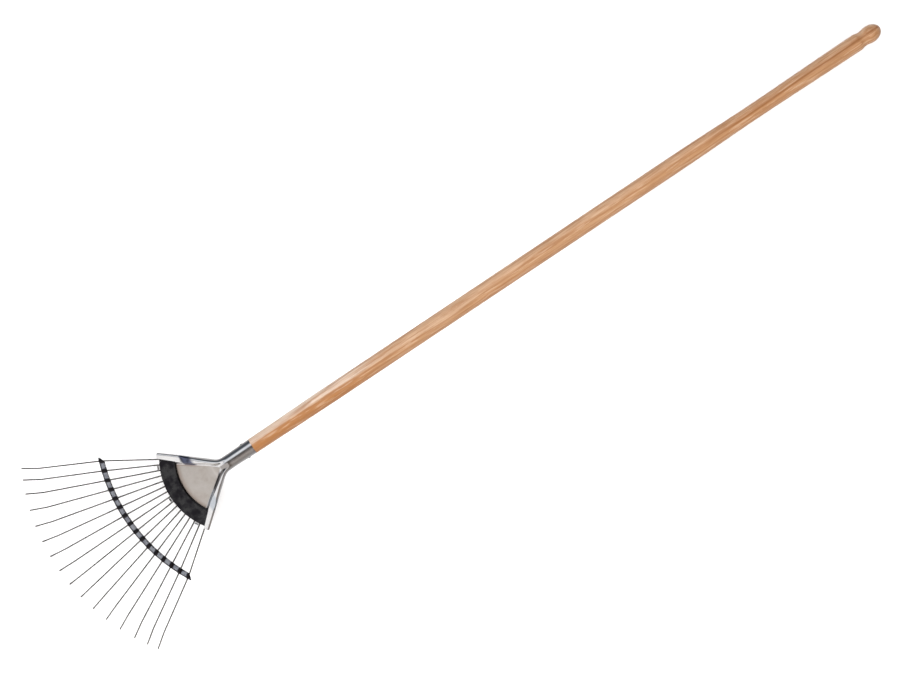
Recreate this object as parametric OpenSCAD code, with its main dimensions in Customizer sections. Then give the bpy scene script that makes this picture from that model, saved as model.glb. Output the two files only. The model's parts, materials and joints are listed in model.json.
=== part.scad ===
// Long-handled leaf rake: an ash handle, a steel head with a socket,
// and a fan of sprung wire tines held apart by a curved spreader.
// The rake lies on its middle tine tips and the end of its grip.

/* [Handle] */
// Length of wood outside the socket
handle_len = 1283; // [1270:1:1500]
// Length of wood inside the socket
root_len = 55; // [45:1:56]
// Diameter of the straight stretch
handle_d = 30; // [29:0.5:32]
// Diameter of the wood beside the socket's mouth
shoulder_d = 27.6; // [27.4:0.1:28.5]
// Start of the straight stretch, from the mouth
straight_start = 160; // [120:5:300]
// End of the straight stretch, from the mouth
straight_end = 870; // [600:5:900]
// Diameter of the waist in the grip
waist_d = 26.9; // [25:0.1:29]
// Diameter of the swell between waist and groove
swell_d = 29.8; // [29:0.1:32]
// Diameter at the bottom of the turned groove
groove_d = 26.2; // [24:0.1:28]
// Diameter of the knob at the end
knob_d = 30; // [29:0.1:30]
// Length of the knob's domed end
dome_len = 21; // [16:0.5:24]

/* [Socket] */
// Outside diameter at the mouth
mouth_d = 27.2; // [26.8:0.1:27.3]
// Outside diameter where the socket meets the head
throat_d = 24.2; // [23:0.1:25]
// Length of the round stretch
socket_len = 58; // [57:1:70]
// Distance of the cross rivet from the mouth
rivet_at = 15; // [10:1:30]
// Diameter of the rivet's shank
rivet_d = 3; // [2.5:0.1:4]
// Diameter of the rivet's domed heads
rivet_head_d = 5; // [4.5:0.1:6.5]
// Height of the rivet's domed heads
rivet_head_h = 1.3; // [1:0.1:2]

/* [Head] */
// Thickness of the sheet
sheet = 1.5; // [1.2:0.1:1.8]
// Bend of the fan below the line of the handle, in degrees
head_bend = 10; // [5:0.5:15]
// Distance of the fan's centre from the socket's mouth
fan_at = 46; // [44:1:48]
// Drop of the fan's centre below the handle's axis
fan_drop = 7.5; // [6.5:0.5:8]
// Angle from the middle line to the side of the head
side_angle = 39; // [38:0.5:41]
// Radius of the head's front edge
front_r = 122; // [121:1:126]
// Radius of the clamp plate's rear edge
clamp_r = 93.5; // [92:0.5:94]
// Radius at which the folded sides begin
fold_from = 87; // [86:0.5:88]
// Length by which the folded sides stand out past the front edge
fold_past = 4.5; // [2:0.5:6]
// Width of the folded side at its rear end
fold_rear_w = 14; // [12:0.5:16]
// Width of the folded side at its front end
fold_front_w = 9.5; // [8:0.5:10]
// Length of the three front tabs
tab_len = 4.5; // [3:0.5:6]
// Width of the three front tabs
tab_w = 7; // [4:0.5:7]

/* [Tines] */
// Diameter of the wire
wire_d = 2.4; // [2:0.1:2.5]
// Angle between neighbouring tines, in degrees
tine_pitch = 4.58; // [4.5:0.01:4.6]
// Turn of all the tines to one side, about the middle of the front edge, in degrees
fan_turn = 3.1; // [0:0.1:3.5]
// Inward bend of the outermost tines at the spreader, in degrees
end_pull = 5.2; // [4:0.1:6]
// Radius of the root, where the wire turns down
root_r = 97; // [97:0.5:104]
// Distance of the tip's bend from the fan's centre, along the tine
bend_at = 328; // [300:1:340]
// Bend of the tip towards the ground, in degrees
tip_bend = 30; // [20:1:45]
// Length of the tip beyond its bend
tip_len = 43; // [30:1:50]

/* [Spreader] */
// Radius of the spreader's curve
spreader_r = 300; // [280:1:320]
// Distance of the spreader's centre behind the fan's centre
spreader_back = 93; // [80:1:100]
// Width of the spreader strip
spreader_w = 10; // [8:0.5:12]
// Length of strip outside the outermost tines
spreader_past = 6; // [5.5:0.5:8]

/* [Hidden] */
TINES = 16;
function two_digits(i) = i < 10 ? str("0", i) : str(i);
function tine_name(i) = str("tine_", two_digits(i));
$fn = 64;

// Clearances
wood_gap = 0.05;
rivet_gap = 0.05;
wire_gap = 0.3;
plate_gap = 0.2;

// Handle: stations from the mouth to the knob, as [distance, diameter]
knob_at = handle_len - dome_len;
groove_at = knob_at - 15;
swell_to = groove_at - 11;
swell_from = swell_to - 11;
waist_at = handle_len - 256;
stations = [
    [0, shoulder_d],
    [straight_start, handle_d],
    [straight_end, handle_d],
    [waist_at, waist_d],
    [swell_from, swell_d],
    [swell_to, swell_d],
    [groove_at, groove_d],
    [knob_at, knob_d]
];
ease_steps = 10;
dome_steps = 16;

// Head: levels above and below the plane of the tines
web_top = -wire_d / 2;
web_bottom = web_top - sheet;
clamp_top = wire_d / 2 + sheet;
lip_top = clamp_top + sheet;
fold_r = (lip_top - web_bottom) / 2;
fold_z = (lip_top + web_bottom) / 2;
fold_to = front_r + fold_past;
web_point = 14;
rear_half = 32;
low_r = 2.2;
deep = 30;
cut_past = 0.5;
lap = 0.1;
tab_overlap = 1.5;

// Tines
tip_curve = 14;
tip_tangent = tip_curve * tan(tip_bend / 2);
root_curve = wire_d;
root_hole_d = wire_d + 1.4;
root_past = 0.5;
bend_swell = 0.02;
run_overlap = 0.1;
kink_curve = 60;
least_pull = 1;

// Spreader: two leaves pinched between the tines, with a ridge round each tine
leaf = 1;
ridge_d = wire_d + 2 * wire_gap + 2 * leaf;
outer_tine = (TINES - 1) / 2 * tine_pitch;
spreader_half = asin((reach(outer_tine) * sin(outer_tine) + spreader_past) / spreader_r);

// A point at radius r and angle a, one a distance w inside the side line,
// the mirror image of a point, and an arc of points
function polar(r, a) = [r * cos(a), r * sin(a)];
function inside_side(r, w) =
    polar(r, side_angle) + w * [sin(side_angle), -cos(side_angle)];
function flip(p) = [p[0], -p[1]];
function arc(r, from, to, steps) =
    [for (i = [0:steps]) polar(r, from + (to - from) * i / steps)];

// Angle of a tine from the middle line, and its inward bend at the spreader
function tine_angle(i) = (i - (TINES + 1) / 2) * tine_pitch;
function tine_pull(i) =
    let (side = (2 * i - TINES - 1) / (TINES - 1), pull = end_pull * side ^ 8)
    pull < least_pull ? 0 : pull * sign(side);

// Distance from the fan's centre to the spreader along an angle
function reach(a) =
    sqrt(spreader_r ^ 2 - (spreader_back * sin(a)) ^ 2) - spreader_back * cos(a);

// A point of the untouched fan after the turn of the tines
function turned(p) = [
    front_r + (p[0] - front_r) * cos(fan_turn) - p[1] * sin(fan_turn),
    (p[0] - front_r) * sin(fan_turn) + p[1] * cos(fan_turn)
];

// Where a line of the turned fan crosses the head's front edge
function front_angle(a) =
    let (centre = turned([0, 0]), line = polar(1, a + fan_turn))
    a + fan_turn - asin((centre[0] * line[1] - centre[1] * line[0]) / front_r);

// End of a tine in the plane of the fan
function tip_point(i) =
    let (a = tine_angle(i), run = bend_at - reach(a) + tip_len * cos(tip_bend))
    turned(polar(reach(a), a) + polar(run, a - tine_pull(i)));

// Attitude at rest: the lowest tip and the knob touch the ground
tip_points = [for (i = [1:TINES]) tip_point(i)];
tip_reach = max([for (p = tip_points) p[0]]);
tip_down = tip_len * sin(tip_bend);
tip_x = -fan_at - tip_reach * cos(head_bend) + tip_down * sin(head_bend);
tip_z = -fan_drop - tip_reach * sin(head_bend) - tip_down * cos(head_bend);
knob_r = knob_d / 2;
function below_knob(p) = sqrt((knob_r * cos(p)) ^ 2 + (dome_len * sin(p)) ^ 2);
function beyond_knob(p) = sqrt((dome_len * cos(p)) ^ 2 + (knob_r * sin(p)) ^ 2);
span = norm([knob_at - tip_x, tip_z]);
slope = atan2(tip_z, knob_at - tip_x);
function settle(p) = asin((wire_d / 2 - below_knob(p)) / span) - slope;
rest_pitch = settle(settle(0));
lift = wire_d / 2 + tip_x * sin(rest_pitch) - tip_z * cos(rest_pitch);
front_x = tip_x * cos(rest_pitch) + tip_z * sin(rest_pitch) - wire_d / 2;
rear_x = knob_at * cos(rest_pitch) + beyond_knob(rest_pitch);
shift_x = -(front_x + rear_x) / 2;
shift_y = (max([for (p = tip_points) p[1]]) + min([for (p = tip_points) p[1]])) / 2;

// Places the handle's axis in the resting attitude
module at_rest() {
    translate([shift_x, shift_y, lift])
        rotate([0, rest_pitch, 0])
            children();
}

// Places the fan: children lie in its plane, about its centre, and point along +X
module in_fan() {
    at_rest()
        to_fan()
            children();
}

// Turns the tines and the spreader to one side
module turn_fan() {
    translate([front_r, 0])
        rotate(fan_turn)
            translate([-front_r, 0])
                children();
}

module both_sides() {
    children();
    mirror([0, 1, 0]) children();
}

// Wedges of the fan's plane: by angle, or by distance inside the side lines
module wedge(angle) {
    far = polar(2 * front_r, angle);
    polygon([[0, 0], far, flip(far)]);
}

module side_wedge(inside) {
    far = inside_side(2 * front_r, inside);
    polygon([[inside / sin(side_angle), 0], far, flip(far)]);
}

// Part of a flat ring that the child covers
module ring_part(inner_r, outer_r) {
    intersection() {
        difference() {
            circle(r = outer_r, $fn = 360);
            circle(r = inner_r, $fn = 360);
        }
        children();
    }
}

// Smooth change between two stations of the handle
function ease(a, b, t) = a + (b - a) * (1 - cos(180 * t)) / 2;
function stretch(a, b) =
    let (steps = a[1] == b[1] ? 1 : ease_steps)
    [for (i = [1:steps]) [
        ease(a[1], b[1], i / steps) / 2,
        a[0] + (b[0] - a[0]) * i / steps
    ]];
function dome() =
    [for (i = [1:dome_steps]) [
        i == dome_steps ? 0 : knob_r * cos(90 * i / dome_steps),
        knob_at + dome_len * sin(90 * i / dome_steps)
    ]];

// Inside radius of the socket at a distance from the mouth
function bore_r(at) =
    (mouth_d + (throat_d - mouth_d) * at / socket_len) / 2 - sheet;

module handle() {
    outline = concat(
        [
            [0, -root_len],
            [bore_r(root_len) - wood_gap, -root_len],
            [bore_r(0) - wood_gap, 0],
            [shoulder_d / 2, 0]
        ],
        [for (i = [0:len(stations) - 2]) each stretch(stations[i], stations[i + 1])],
        dome()
    );
    color("burlywood")
        at_rest()
            difference() {
                rotate([0, 90, 0]) rotate_extrude() polygon(outline);
                rivet_hole();
            }
}

module rivet_hole() {
    translate([-rivet_at, 0, 0])
        rotate([90, 0, 0])
            cylinder(d = rivet_d + 2 * rivet_gap, h = 2 * mouth_d, center = true);
}

module socket_rivet() {
    seat = bore_r(rivet_at - rivet_head_d / 2) + sheet;
    dome_r = ((rivet_head_d / 2) ^ 2 + rivet_head_h ^ 2) / (2 * rivet_head_h);
    color("silver")
        at_rest()
            translate([-rivet_at, 0, 0])
                both_sides()
                    rotate([-90, 0, 0]) {
                        cylinder(d = rivet_d, h = seat);
                        translate([0, 0, seat])
                            intersection() {
                                translate([0, 0, rivet_head_h - dome_r]) sphere(r = dome_r);
                                cylinder(d = rivet_head_d, h = rivet_head_h);
                            }
                    }
}

// The tapered tube, solid
module tube() {
    rotate([0, -90, 0])
        cylinder(d1 = mouth_d, d2 = throat_d, h = socket_len);
}

// Its bore, which runs past both ends
module bore() {
    rotate([0, -90, 0])
        translate([0, 0, -cut_past])
            cylinder(
                r1 = bore_r(-cut_past),
                r2 = bore_r(socket_len + cut_past),
                h = socket_len + 2 * cut_past
            );
}

// End of the tube, from which the sides of the head spring
module throat(inset = 0, drop = 0) {
    translate([1 + inset - socket_len, 0, -drop])
        rotate([0, -90, 0])
            cylinder(d = throat_d - 2 * inset, h = 1 + inset, $fn = 40);
}

// Turns from the handle's axis into the plane of the fan
module to_fan() {
    translate([-fan_at, 0, -fan_drop])
        rotate([0, -head_bend, 0])
            rotate([0, 0, 180])
                children();
}

// Short bead along the side line, inside it by a distance
module bead(inside, radius, z, inset) {
    at = inside_side(fold_from - 1, inside);
    translate([at[0], at[1], z])
        rotate([0, 0, side_angle])
            rotate([0, 90, 0])
                cylinder(r = radius - inset, h = 1 + inset, $fn = 32);
}

// End of a pressed side ridge, where it meets the folded side
module ridge_end(inset = 0, drop = 0) {
    to_fan() {
        bead(fold_r, fold_r, fold_z - drop, inset);
        bead(fold_rear_w - low_r, low_r, fold_z - 1 - drop, inset);
    }
}

// Foot of the sloped nose between the ridges, down on the web
module nose_end(inset = 0, drop = 0) {
    to_fan()
        translate([web_point + 8, 0, web_top - drop - inset])
            rotate([90, 0, 0])
                cylinder(r = 1, h = 8 - 2 * inset, center = true, $fn = 24);
}

module ridges() {
    both_sides()
        hull() {
            throat();
            ridge_end();
        }
    hull() {
        throat();
        nose_end();
    }
}

// Hollow under the ridges, open to the ground
module ridge_hollow() {
    both_sides()
        hull() {
            throat(sheet);
            throat(sheet, deep);
            ridge_end(sheet);
            ridge_end(sheet, deep);
        }
    hull() {
        throat(sheet);
        throat(sheet, deep);
        nose_end(sheet);
        nose_end(sheet, deep);
    }
}

// Side of the sheet turned up and in over the end of the clamp plate
module folded_side() {
    translate(concat(inside_side(fold_from, fold_r), fold_z))
        rotate([0, 0, side_angle])
            rotate([90, 0, 90])
                linear_extrude(fold_to - fold_from)
                    difference() {
                        circle(r = fold_r);
                        circle(r = fold_r - sheet);
                        translate([-2 * fold_r, -fold_r]) square(2 * fold_r);
                    }
    translate([0, 0, clamp_top])
        linear_extrude(sheet)
            polygon([
                inside_side(fold_from, fold_r - lap),
                inside_side(fold_to, fold_r - lap),
                inside_side(fold_to, fold_front_w),
                inside_side(fold_from, fold_rear_w)
            ]);
}

// Plan of the flat sheet: a narrow web, then full width, with the tabs' floors
module web_plan() {
    near = inside_side(fold_from, fold_rear_w - 1);
    wide = inside_side(fold_from, fold_r - lap);
    corner_angle = side_angle - asin((fold_r - lap) / front_r);
    polygon(concat(
        [[web_point, 0], near, wide],
        arc(front_r, corner_angle, -corner_angle, 40),
        [flip(wide), flip(near)]
    ));
    tab_plan(tab_len + tab_overlap);
}

// Plan of the tabs, which stand between tines, back from their front edge by a depth
module tab_plan(depth) {
    for (gap = [-6, 0, 6] * tine_pitch)
        translate(polar(front_r, front_angle(gap)))
            rotate(gap + fan_turn)
                translate([tab_len - depth, -tab_w / 2])
                    square([depth, tab_w]);
}

// Flat sheet, with a hole for each tine's root, and the tabs turned up
module web() {
    translate([0, 0, web_bottom]) {
        linear_extrude(sheet)
            difference() {
                web_plan();
                turn_fan()
                    for (i = [1:TINES])
                        translate(polar(root_r + root_curve / 5, tine_angle(i)))
                            circle(d = root_hole_d);
            }
        linear_extrude(clamp_top - web_bottom)
            tab_plan(sheet);
    }
}

module head_shell() {
    color("gainsboro") {
        at_rest()
            difference() {
                union() {
                    tube();
                    ridges();
                }
                bore();
                ridge_hollow();
                rivet_hole();
            }
        in_fan() {
            web();
            both_sides() folded_side();
        }
    }
}

// Curved plate over the roots of the tines, its rear edge turned down to the web
module clamp_plate() {
    color("dimgray")
        in_fan() {
            translate([0, 0, wire_d / 2])
                linear_extrude(sheet)
                    ring_part(clamp_r + sheet / 2, front_r)
                        side_wedge(fold_r + plate_gap);
            translate([0, 0, web_top])
                linear_extrude(wire_d + sheet)
                    ring_part(clamp_r, clamp_r + sheet)
                        wedge(rear_half);
        }
}

// Bent wire along an arc, a hair thicker than the straight runs it joins
module wire_arc(radius, from, to) {
    rotate([90, 0, 0])
        rotate([0, 0, from])
            rotate_extrude(angle = to - from)
                translate([radius, 0])
                    circle(d = wire_d + bend_swell, $fn = 32);
}

// Straight run of wire, which enters the bend at either end by a short overlap
module wire_run(from, to) {
    translate([from - run_overlap, 0, 0])
        rotate([0, 90, 0])
            cylinder(d = wire_d, h = to - from + 2 * run_overlap, $fn = 32);
}

// Tip beyond the bend, with a rounded end
module wire_tip() {
    run = tip_len - tip_tangent;
    round_steps = 6;
    rotate([0, 90, 0])
        rotate_extrude($fn = 32)
            polygon(concat(
                [[0, tip_tangent - run_overlap], [wire_d / 2, tip_tangent - run_overlap]],
                [for (i = [0:round_steps]) [
                    i == round_steps ? 0 : wire_d / 2 * cos(90 * i / round_steps),
                    tip_len + wire_d / 2 * sin(90 * i / round_steps)
                ]]
            ));
}

// Outer end of a tine, from its start to the bend, and over the bend to the tip
module wire_end(start) {
    bend_from = bend_at - tip_tangent;
    wire_run(start, bend_from);
    translate([bend_from, 0, -tip_curve])
        wire_arc(tip_curve, 90 - tip_bend, 90);
    translate([bend_at, 0, 0])
        rotate([0, tip_bend, 0])
            wire_tip();
}

// Hooked root of a tine, down through the web
module wire_root() {
    translate([root_r, 0, web_bottom - root_past])
        cylinder(d = wire_d, h = root_past - web_bottom - root_curve + run_overlap, $fn = 32);
    translate([root_r + root_curve, 0, -root_curve])
        wire_arc(root_curve, 90, 180);
}

// Gentle bend in the plane of the fan, by an angle to either side of the X axis
module wire_kink(pull) {
    translate([0, -kink_curve * sign(pull), 0])
        rotate([0, 0, pull > 0 ? 90 - pull : -90])
            rotate_extrude(angle = abs(pull))
                translate([kink_curve, 0])
                    circle(d = wire_d + bend_swell, $fn = 32);
}

// Sprung wire: hooked root, long straight run, tip bent towards the ground.
// The outer tines are bent inwards a little where the spreader holds them.
module tine(i) {
    pull = tine_pull(i);
    at = reach(tine_angle(i));
    tangent = kink_curve * tan(abs(pull) / 2);
    straight_from = root_r + root_curve;
    color("lightgray")
        in_fan()
            turn_fan()
                rotate([0, 0, tine_angle(i)]) {
                    wire_root();
                    if (pull == 0) {
                        wire_end(straight_from);
                    } else {
                        wire_run(straight_from, at - tangent);
                        translate([at - tangent, 0, 0]) wire_kink(pull);
                        translate([at, 0, 0])
                            rotate([0, 0, -pull])
                                translate([-at, 0, 0])
                                    wire_end(at + tangent);
                    }
                }
}

// Band of the spreader's plan, as thick as asked
module spreader_band(thick) {
    translate([-spreader_back, 0, -thick / 2])
        rotate([0, 0, -spreader_half])
            rotate_extrude(angle = 2 * spreader_half, $fn = 360)
                translate([spreader_r - spreader_w / 2, 0])
                    square([spreader_w, thick]);
}

// Short rod along each tine where it passes the spreader
module rods(diameter, length) {
    for (i = [1:TINES])
        translate(concat(polar(reach(tine_angle(i)), tine_angle(i)), 0))
            rotate([0, 0, tine_angle(i) - tine_pull(i) / 2])
                rotate([0, 90, 0])
                    cylinder(d = diameter, h = length, center = true);
}

// Curved strip pinched round every tine
module spreader() {
    end_at = [-spreader_back, 0] + polar(spreader_r, spreader_half);
    color("darkgray")
        in_fan()
            turn_fan()
                difference() {
                    union() {
                        spreader_band(2 * leaf);
                        both_sides()
                            translate([end_at[0], end_at[1], -leaf])
                                cylinder(d = spreader_w, h = 2 * leaf);
                        intersection() {
                            spreader_band(2 * ridge_d);
                            rods(ridge_d, 2 * spreader_w);
                        }
                    }
                    rods(wire_d + 2 * wire_gap, 3 * spreader_w);
                }
}

handle();
head_shell();
clamp_plate();
socket_rivet();
spreader();
for (i = [1:TINES])
    tine(i);
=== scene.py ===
"""Looks of the leaf rake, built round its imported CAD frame."""
import json
from math import asin, cos, exp, hypot, pi, radians, sin, sqrt, tan

import bmesh
import bpy
from mathutils import Matrix, Vector

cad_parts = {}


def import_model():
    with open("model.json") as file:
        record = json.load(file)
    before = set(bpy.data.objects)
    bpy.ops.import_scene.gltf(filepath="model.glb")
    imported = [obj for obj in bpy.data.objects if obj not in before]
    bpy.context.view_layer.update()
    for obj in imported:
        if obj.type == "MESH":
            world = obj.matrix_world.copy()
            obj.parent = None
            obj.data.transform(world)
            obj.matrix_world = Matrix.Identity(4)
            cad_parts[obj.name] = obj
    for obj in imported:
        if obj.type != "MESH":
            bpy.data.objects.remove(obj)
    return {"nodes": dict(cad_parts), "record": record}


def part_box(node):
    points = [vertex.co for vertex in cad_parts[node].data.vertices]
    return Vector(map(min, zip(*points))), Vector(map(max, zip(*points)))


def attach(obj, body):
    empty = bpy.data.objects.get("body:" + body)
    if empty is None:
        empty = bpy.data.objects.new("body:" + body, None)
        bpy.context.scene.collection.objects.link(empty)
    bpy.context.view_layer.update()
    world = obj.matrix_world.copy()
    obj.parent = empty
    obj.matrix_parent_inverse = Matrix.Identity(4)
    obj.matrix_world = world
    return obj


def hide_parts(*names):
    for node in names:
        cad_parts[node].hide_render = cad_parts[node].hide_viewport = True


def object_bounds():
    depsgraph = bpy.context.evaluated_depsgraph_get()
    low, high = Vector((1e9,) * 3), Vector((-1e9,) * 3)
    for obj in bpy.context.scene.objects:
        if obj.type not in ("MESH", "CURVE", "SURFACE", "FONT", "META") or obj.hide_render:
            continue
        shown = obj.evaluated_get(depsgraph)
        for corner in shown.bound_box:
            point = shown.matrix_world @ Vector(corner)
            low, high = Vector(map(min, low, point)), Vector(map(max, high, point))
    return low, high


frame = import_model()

CAD_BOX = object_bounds()
MM = 0.001

# ------------------------ driving dimensions, as in the CAD model
SHEET = 1.5 * MM
MOUTH_R = 13.6 * MM
THROAT_R = 12.1 * MM
SOCKET_LEN = 58 * MM
RIVET_AT = 15 * MM
HEAD_BEND = radians(10)
FAN_AT = 46 * MM
FAN_DROP = 7.5 * MM
SIDE_ANGLE = radians(39)
FRONT_R = 122 * MM
CLAMP_R = 93.5 * MM
FOLD_TO = FRONT_R + 4.5 * MM
LIP_FRONT_W = 9.5 * MM
TAB_LEN = 4.5 * MM
WIRE_D = 2.4 * MM
WIRE_GAP = 0.3 * MM
TINES = 16
TINE_PITCH = radians(4.58)
FAN_TURN = radians(3.1)
END_PULL = radians(5.2)
LEAST_PULL = radians(1)
SPREADER_R = 300 * MM
SPREADER_BACK = 93 * MM
SPREADER_W = 10 * MM
SPREADER_PAST = 6 * MM
LEAF = 1 * MM

# Two widths that are a little less than in the CAD model
LIP_REAR_W = 11.5 * MM
TAB_W = 6.6 * MM

# Levels above and below the plane of the tines
WEB_TOP = -WIRE_D / 2
WEB_BOTTOM = WEB_TOP - SHEET
CLAMP_TOP = WIRE_D / 2 + SHEET
LIP_TOP = CLAMP_TOP + SHEET
FOLD_RADIUS = (LIP_TOP - WEB_BOTTOM) / 2


# ------------------------ places, from the frame
def middle(node):
    low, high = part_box(node)
    return (low + high) / 2


def mount(name):
    return next(m for m in frame["record"]["mounts"] if m["name"] == name)


ALONG = (Vector(mount("handle_clip")["pos_m"]) - middle("socket_rivet")).normalized()
ACROSS = Vector((0, 1, 0))
UP = ALONG.cross(ACROSS)
MOUTH = middle("socket_rivet") + ALONG * RIVET_AT
FAN_OUT = -ALONG * cos(HEAD_BEND) - UP * sin(HEAD_BEND)
FAN_UP = UP * cos(HEAD_BEND) - ALONG * sin(HEAD_BEND)
FAN_CENTRE = MOUTH - ALONG * FAN_AT - UP * FAN_DROP


def on_handle(x, y, z):
    """A point x along the handle from the socket's mouth, y across it and z above its axis."""
    return MOUTH + ALONG * x + ACROSS * y + UP * z


def on_fan(x, y, z):
    """A point x out along the fan's middle line, y across it and z above its plane."""
    return FAN_CENTRE + FAN_OUT * x + ACROSS * y + FAN_UP * z


def turned(x, y):
    """A point of the fan after the turn of the tines about the middle of the front edge."""
    x -= FRONT_R
    return FRONT_R + x * cos(FAN_TURN) + y * sin(FAN_TURN), y * cos(FAN_TURN) - x * sin(FAN_TURN)


# ------------------------ small sums
def mix(a, b, t):
    return a + (b - a) * t


def smooth(low, high, value):
    """0 below low, 1 above high, and a smooth change between."""
    t = min(1, max(0, (value - low) / (high - low)))
    return t * t * (3 - 2 * t)


def steps(low, high, count):
    """count + 1 even steps from low to high."""
    return [mix(low, high, i / count) for i in range(count + 1)]


# ------------------------ meshes
# An edge sharper than CREASE stays crisp, and one sharper than CUT_EDGE is eased with a bevel.
CREASE = radians(40)
CUT_EDGE = radians(50)
SAME_PLACE = 1e-6


def add_grid(bm, rows, flip=False):
    """Joins rows of points into four-sided faces."""
    made = [[bm.verts.new(p) for p in row] for row in rows]
    for near, far in zip(made, made[1:]):
        for i in range(len(near) - 1):
            corners = [near[i], near[i + 1], far[i + 1], far[i]]
            bm.faces.new(corners[::-1] if flip else corners)


def shade(mesh):
    """Smooth shading over gentle edges, while edges sharper than CREASE stay crisp."""
    mesh.shade_smooth()
    mesh.set_sharp_from_angle(angle=CREASE)


def finished(bm, name, material):
    """Turns bm into a smooth-shaded object of one material."""
    mesh = bpy.data.meshes.new(name)
    bm.to_mesh(mesh)
    bm.free()
    mesh.materials.append(material)
    piece = bpy.data.objects.new(name, mesh)
    bpy.context.scene.collection.objects.link(piece)
    shade(mesh)
    return piece


def apply_modifiers(piece):
    """Makes the result of the piece's modifiers its own mesh."""
    graph = bpy.context.evaluated_depsgraph_get()
    mesh = bpy.data.meshes.new_from_object(piece.evaluated_get(graph))
    piece.modifiers.clear()
    piece.data = mesh
    shade(mesh)


def thicken(piece, thickness, edge):
    """Gives a one-sided sheet its thickness below its outer face, and eases its cut edges."""
    solid = piece.modifiers.new("sheet", "SOLIDIFY")
    solid.thickness = thickness
    solid.offset = -1
    solid.use_even_offset = True
    ease = piece.modifiers.new("edge", "BEVEL")
    ease.width = edge
    ease.segments = 2
    ease.limit_method = "ANGLE"
    ease.angle_limit = CUT_EDGE
    apply_modifiers(piece)


# ------------------------ head: a pressing of one sheet
# Sizes. The web between the ridges is a V, which opens at V_ANGLE each side from V_POINT.
V_POINT = 17 * MM
V_ANGLE = radians(35.3)
V_START = 0.3
NECK_BLEND = 4 * MM
SEAM_GAP = 0.4 * MM
NECK_TUCK = 1.5 * MM
CREST_SHARE = 0.45
NECK_SPLIT = 0.5
NECK_LEVEL = 0.05
CREST_FALL = 13 * MM
FALL_CURVE = 1.8
CREST_STEP = 4 * MM
WEB_FALL = 5 * MM
CORNER_R = 2.5 * MM
CORNER_SIDE = 0.4
CORNER_LIP = 1.4
HEAD_EASE = 0.3 * MM

# Front tabs: the gaps between tines that they stand in, counted from the middle one
TAB_GAPS = (-6, 0, 6)
TAB_ROOT = 3 * MM
TAB_BEND = 1.6 * MM
TAB_BEND_IN = 0.3 * MM
TAB_CROWN = 0.4 * MM
TAB_CROWN_AT = 0.6

# Places along the fan's middle line. The tube opens into the fan's shape from OPEN_FROM to OPEN_TO,
# the crest takes the lip's shape from SHELF_FROM to SHELF_TO and steps down from STEP_FROM to STEP_TO.
OPEN_FROM = 4 * MM
BOW_FROM = 20 * MM
SHELF_FROM = 25 * MM
TUCK_TO = 30 * MM
OPEN_TO = 36 * MM
STEP_FROM = 64 * MM
ROLL_FROM = 80 * MM
SHELF_TO = 84 * MM
STEP_TO = 88 * MM
RIDGE_TO = CLAMP_R + 0.5 * MM

# Faces across a row: from the seam round the side, over the crest and down to the middle of the web
WALL_STEPS = 10
RIM_STEPS = 10
CREST_STEPS = 8
FOOT_STEPS = 10
WEB_STEPS = 14
UNDER_RIDGE_STEPS = 4

# Rows of faces along the head
TUBE_ROWS = 20
NECK_ROWS = 36
RIDGE_ROWS = 40
LIP_ROWS = 16
CORNER_ROWS = 6
SHEET_ROWS = 14

# Rounds after which a row's edge has settled
SETTLE_ROUNDS = 40


def smooth_max(a, b, blend):
    """The greater of two values, with a rounded change where they are alike."""
    return (a + b + hypot(a - b, blend)) / 2


def bow(at):
    """How far the row that crosses the middle line at a place has changed from straight to an arc."""
    return smooth(BOW_FROM, CLAMP_R, at)


def row_x(at, y):
    """Distance along the middle line of a row's point, from its distance across."""
    if bow(at) == 0:
        return at
    radius = at / bow(at)
    return at - radius + sqrt(radius ** 2 - y ** 2)


def row_edge(at, least, point, angle):
    """Distance across at which a row meets a line that leaves the middle line at a point."""
    y = least
    for _ in range(SETTLE_ROUNDS):
        y = smooth_max(least, (row_x(at, y) - point) * tan(angle), NECK_BLEND)
    return y


def crest_height(at):
    """Height of the ridge's crest, which falls from the tube's top and steps down to the lip."""
    share = min(1, max(0, (at - OPEN_FROM) / (CLAMP_R - OPEN_FROM)))
    step = CREST_STEP * (1 - smooth(STEP_FROM, STEP_TO, at))
    return LIP_TOP + step + CREST_FALL * (1 - share) ** FALL_CURVE


def web_height(at):
    """Height of the web, which slopes down from the neck to the clamp plate."""
    return WEB_TOP + WEB_FALL * min(1, max(0, (CLAMP_R - at) / CLAMP_R))


def across_share(at):
    """Distance across the fan for each unit of distance inside the side line."""
    return mix(1 / cos(SIDE_ANGLE), cos(SIDE_ANGLE), bow(at))


def fold_places(outer, tuck, crest_at, crest):
    """The outside of a row as (y, height): from its lower edge round its widest point to the crest."""
    side = (crest + WEB_BOTTOM) / 2
    places = []
    for angle in steps(pi / 2, 0, WALL_STEPS):
        places.append((outer - tuck * (1 - cos(angle)), side - (side - WEB_BOTTOM) * sin(angle)))
    for angle in steps(0, pi / 2, RIM_STEPS)[1:]:
        places.append((outer - crest_at * (1 - cos(angle)), side + (crest - side) * sin(angle)))
    return places


def tube_heights(outer, radius, places):
    """Heights above the handle's axis of the same points on the socket's tube."""
    heights = [radius * sqrt(max(0, 1 - (y / outer) ** 2)) for y, _ in places]
    lower = [-radius * sin(angle) for angle in steps(pi / 2, 0, WALL_STEPS)]
    return lower + heights[len(lower):]


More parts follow.
